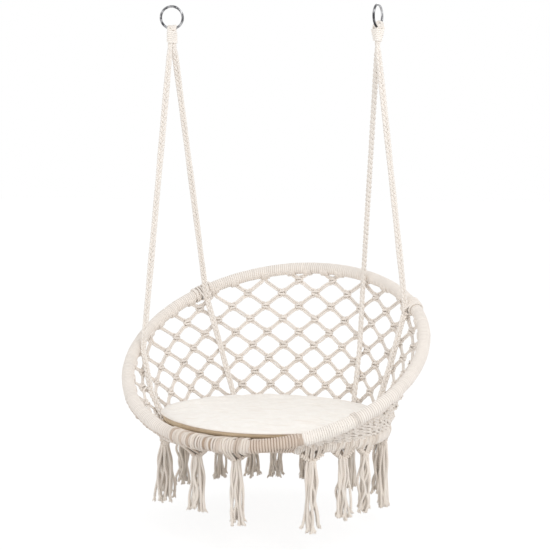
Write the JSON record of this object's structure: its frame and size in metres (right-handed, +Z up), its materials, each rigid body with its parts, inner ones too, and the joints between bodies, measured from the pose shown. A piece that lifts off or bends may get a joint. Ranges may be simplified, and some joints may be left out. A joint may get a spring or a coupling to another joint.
{
  "type": "hammock chair",
  "caption": "Round hammock chair: two cord-wrapped hoops, a knotted net basket with tassels and a round cushion, hung by two ropes from steel rings.",
  "frame": {"origin": "midway between the two hanging rings, at the height of the inner top of each ring, where the hooks bear", "axes": "+X to the viewer's right, +Y to the back of the seat (the open front faces -Y), +Z up"},
  "size_m": [0.794, 0.7268, 1.2821],
  "materials": {
    "ring_steel": "polished steel",
    "hoop_rod": "painted steel, hidden under the cord",
    "hoop_wrap": "closely wound cotton cord",
    "binding_cord": "closely wound cotton cord",
    "basket_net": "knotted twisted cotton cord",
    "seat_net": "knotted twisted cotton cord",
    "hanging_rope": "braided cotton rope",
    "whipping_cord": "wound cotton cord",
    "tassel": "twisted cotton cords with loose ends",
    "cushion_cover": "plain woven cotton cover"
  },
  "bodies": {
    "hung_rings": {"ring_left": "ring_steel", "ring_right": "ring_steel"},
    "chair": {"front_binding": "binding_cord", "lower_hoop_rod": "hoop_rod", "lower_hoop_wrap": "hoop_wrap", "net_panel_01": "basket_net", "net_panel_02": "basket_net", "net_panel_03": "basket_net", "net_panel_04": "basket_net", "net_panel_05": "basket_net", "net_panel_06": "basket_net", "net_panel_07": "basket_net", "net_panel_08": "basket_net", "net_panel_09": "basket_net", "net_panel_10": "basket_net", "ring_whipping_left": "whipping_cord", "ring_whipping_right": "whipping_cord", "rope_left": "hanging_rope", "rope_right": "hanging_rope", "seat_net": "seat_net", "tassel_01": "tassel", "tassel_02": "tassel", "tassel_03": "tassel", "tassel_04": "tassel", "tassel_05": "tassel", "tassel_06": "tassel", "tassel_07": "tassel", "tassel_08": "tassel", "tassel_09": "tassel", "tassel_10": "tassel", "tassel_11": "tassel", "tassel_12": "tassel", "tassel_13": "tassel", "tassel_14": "tassel", "tassel_15": "tassel", "upper_hoop_rod": "hoop_rod", "upper_hoop_wrap": "hoop_wrap"},
    "cushion": {"seat_cushion": "cushion_cover"}
  },
  "joints": [
    {"name": "swing", "type": "hinge", "parent": "hung_rings", "child": "chair", "pos_m": [0, 0, -0.048], "axis": [1, 0, 0], "range_deg": [-20, 20]},
    {"name": "cushion_lift", "type": "slide", "parent": "chair", "child": "cushion", "axis": [0, 0, 1], "range_m": [0, 0.35]}
  ]
}
